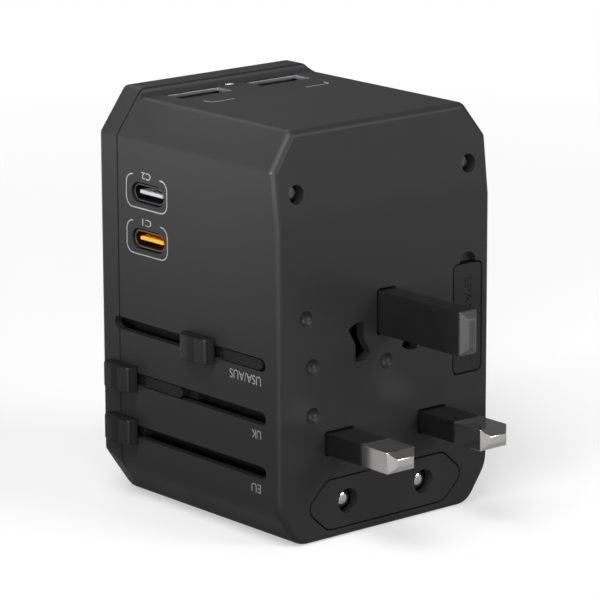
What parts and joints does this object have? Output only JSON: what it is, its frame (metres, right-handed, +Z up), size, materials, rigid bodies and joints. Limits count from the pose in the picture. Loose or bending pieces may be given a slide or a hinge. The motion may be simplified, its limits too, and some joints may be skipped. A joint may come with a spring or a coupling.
{
  "type": "universal travel adapter",
  "caption": "Pocket travel adapter: sliding UK, USA/AUS and EU plugs on one face, a shuttered universal socket behind, USB ports and a spare fuse drawer.",
  "frame": {"origin": "middle of the flat end that the adapter stands on, halfway through the body's depth", "axes": "+Z up along the body, -Y out of the pin face, -X out of the side with the slide buttons"},
  "size_m": [0.0532, 0.0737, 0.0766],
  "materials": {
    "shell_black": "fine matt texture",
    "inner_plastic": "plain moulded",
    "pin_plastic": "satin moulded",
    "nickel": "bright nickel plate",
    "brass": "stamped and bent strip",
    "steel": "plated",
    "board": "green solder mask",
    "ferrite": "matt grey core",
    "capacitor_skin": "dark sleeve",
    "ceramic": "glazed",
    "orange_plastic": "moulded",
    "grey_plastic": "moulded",
    "light_pipe": "clear moulded"
  },
  "bodies": {
    "housing": {"front_housing": "shell_black", "rear_cover": "shell_black", "contact_carrier": "inner_plastic", "slide_guide": "inner_plastic", "usb_a_tongue_left": "inner_plastic", "usb_a_tongue_right": "inner_plastic", "fuse_clip_left": "brass", "fuse_clip_right": "brass", "live_contact": "brass", "neutral_contact": "brass", "live_blade_strip": "brass", "neutral_blade_strip": "brass", "earth_contact": "brass", "shutter_spring": "steel", "usb_a_port_left": "steel", "usb_a_port_right": "steel", "usb_c_port_lower": "steel", "usb_c_port_upper": "steel", "housing_screw_left": "steel", "housing_screw_right": "steel", "power_board": "board", "usb_c_board": "board", "usb_a_board": "board", "transformer": "ferrite", "capacitor_large": "capacitor_skin", "capacitor_small": "capacitor_skin", "main_fuse": "ceramic", "usb_c_tongue_lower": "orange_plastic", "usb_c_tongue_upper": "grey_plastic", "status_light": "light_pipe"},
    "uk_pins": {"uk_carriage": "inner_plastic", "uk_live_pin": "nickel", "uk_neutral_pin": "nickel", "uk_live_sleeve": "pin_plastic", "uk_neutral_sleeve": "pin_plastic", "uk_earth_pin": "pin_plastic", "uk_button": "pin_plastic"},
    "usa_aus_blades": {"usa_aus_carriage": "inner_plastic", "usa_aus_button": "pin_plastic"},
    "left_blade_body": {"left_blade": "nickel"},
    "right_blade_body": {"right_blade": "nickel"},
    "eu_pins": {"eu_carriage": "inner_plastic", "eu_left_pin": "nickel", "eu_right_pin": "nickel", "eu_button": "pin_plastic"},
    "eu_block_body": {"eu_block": "shell_black"},
    "fuse_drawer": {"spare_fuse_drawer": "shell_black", "spare_fuse": "ceramic"},
    "shutter": {"socket_shutter": "inner_plastic"}
  },
  "joints": [
    {"name": "uk_slide", "type": "slide", "parent": "housing", "child": "uk_pins", "axis": [0, -1, 0], "range_m": [-0.0227, 0]},
    {"name": "usa_aus_slide", "type": "slide", "parent": "housing", "child": "usa_aus_blades", "axis": [0, -1, 0], "range_m": [0, 0.0227]},
    {"name": "left_blade_twist", "type": "hinge", "parent": "usa_aus_blades", "child": "left_blade_body", "pos_m": [-0.00635, 0, 0.0355], "axis": [0, -1, 0], "range_deg": [0, 30]},
    {"name": "right_blade_twist", "type": "hinge", "parent": "usa_aus_blades", "child": "right_blade_body", "pos_m": [0.00635, 0, 0.0355], "axis": [0, 1, 0], "range_deg": [0, 30]},
    {"name": "eu_slide", "type": "slide", "parent": "housing", "child": "eu_pins", "axis": [0, -1, 0], "range_m": [0, 0.036]},
    {"name": "eu_block_slide", "type": "slide", "parent": "housing", "child": "eu_block_body", "axis": [0, -1, 0], "range_m": [0, 0.016]},
    {"name": "spare_fuse_slide", "type": "slide", "parent": "housing", "child": "fuse_drawer", "axis": [0, -1, 0], "range_m": [0, 0.009]},
    {"name": "shutter_slide", "type": "slide", "parent": "housing", "child": "shutter", "axis": [0, 0, -1], "range_m": [0, 0.0095], "stiffness_N_per_m": 100, "springref_m": -0.005, "deforming": ["shutter_spring"]}
  ],
  "couplings": [
    {"joint": "eu_block_slide", "follows": "eu_slide", "ratio": 0.4444}
  ]
}
